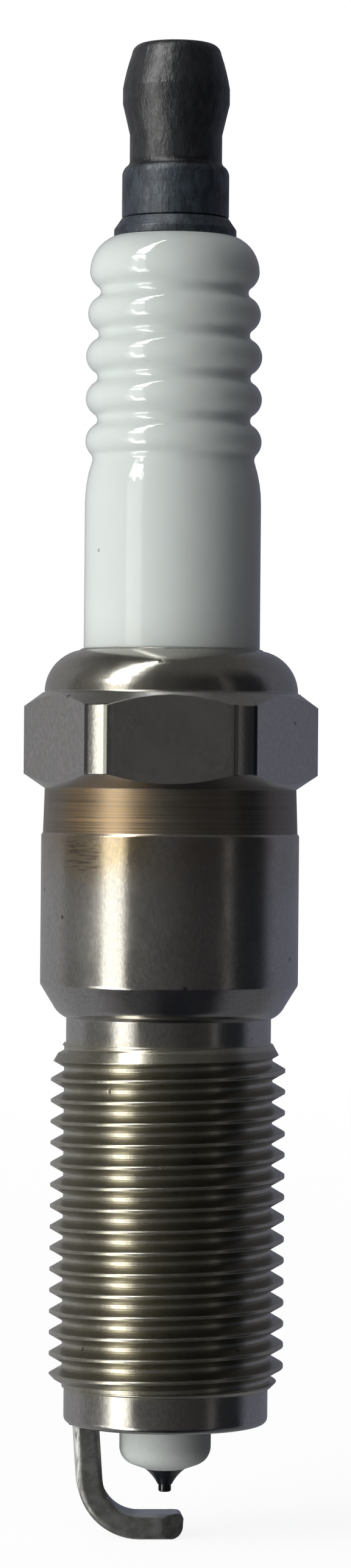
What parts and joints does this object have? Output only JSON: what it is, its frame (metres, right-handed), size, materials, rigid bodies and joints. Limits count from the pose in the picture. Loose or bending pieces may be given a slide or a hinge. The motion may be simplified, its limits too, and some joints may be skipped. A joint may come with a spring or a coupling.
{
  "type": "spark plug",
  "caption": "Resistor spark plug with a tapered sealing face, long-reach M14 thread, ribbed insulator, bulb terminal nut and fine-wire centre electrode.",
  "frame": {"origin": "on the plug's axis, at the gauge plane of the tapered sealing face", "axes": "+Z along the axis towards the terminal; the ground electrode's leg is on the -X side, and one hexagon flat faces -Y"},
  "size_m": [0.0174, 0.0158, 0.0886],
  "materials": {
    "terminal_metal": "dark plated, satin",
    "glazed_alumina": "clear glaze on white alumina, bare at the nose",
    "seal_glass": "copper-filled glass",
    "resistor_mix": "matt black",
    "electrode_nickel": "dull nickel alloy",
    "copper": "drawn copper",
    "tip_metal": "drawn precious-metal wire",
    "plated_steel": "bright nickel plate, heat tinted",
    "packing_steel": "plain wire",
    "talc": "pressed powder"
  },
  "bodies": {
    "plug": {"terminal_stud": "terminal_metal", "insulator": "glazed_alumina", "upper_glass_seal": "seal_glass", "resistor_element": "resistor_mix", "lower_glass_seal": "seal_glass", "centre_electrode": "electrode_nickel", "centre_electrode_core": "copper", "centre_electrode_tip": "tip_metal", "metal_body": "plated_steel", "upper_packing_ring": "packing_steel", "talc_packing": "talc", "lower_packing_ring": "packing_steel", "seat_packing": "packing_steel", "ground_electrode": "electrode_nickel"},
    "nut": {"terminal_nut": "terminal_metal"}
  },
  "joints": [
    {"name": "nut_unscrew", "type": "slide", "parent": "plug", "child": "nut", "axis": [0, 0, 1], "range_m": [0, 0.008]}
  ]
}
